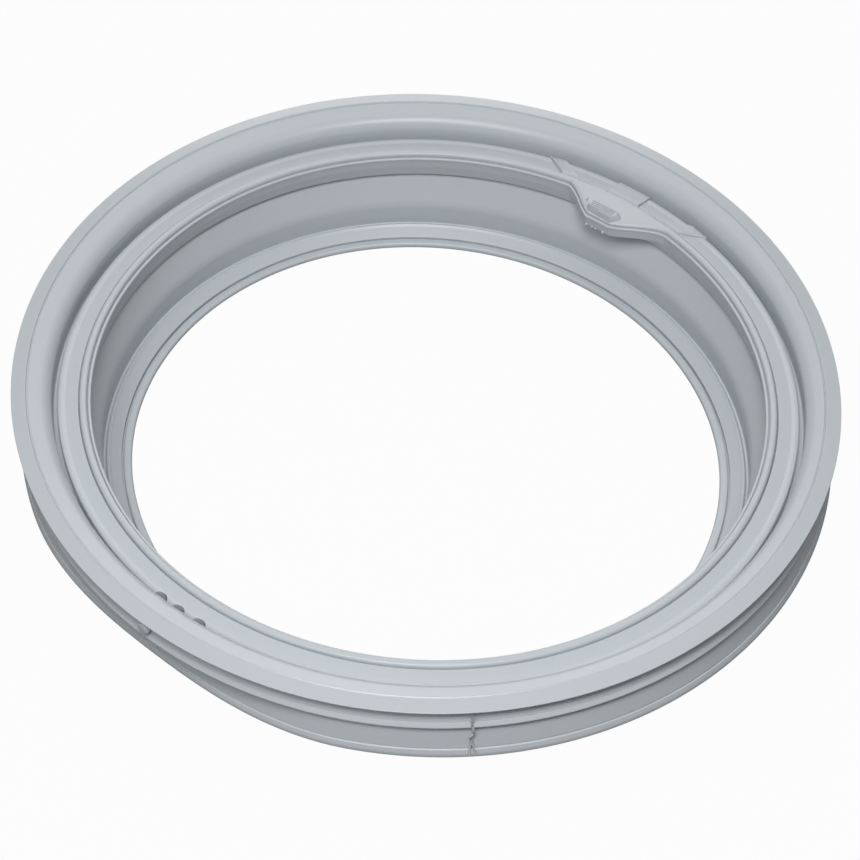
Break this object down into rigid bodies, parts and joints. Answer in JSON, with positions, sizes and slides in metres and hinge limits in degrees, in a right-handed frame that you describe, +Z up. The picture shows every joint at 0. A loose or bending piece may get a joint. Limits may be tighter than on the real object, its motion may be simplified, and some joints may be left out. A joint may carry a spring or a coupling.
{
  "type": "washing machine door gasket",
  "caption": "Moulded rubber door bellows ring with grooved outer flange, door lip with water inlet tongue, drain holes and drum collar",
  "frame": {"origin": "centre of the box round the part, on the surface that the part lies on", "axes": "+Z up from the tub side to the door side, along the ring's axis; +X to the right and -Y to the front of the pictured view"},
  "size_m": [0.3772, 0.3828, 0.058],
  "materials": {
    "grey_rubber": "satin"
  },
  "bodies": {
    "root": {"door_gasket": "grey_rubber"}
  },
  "joints": []
}
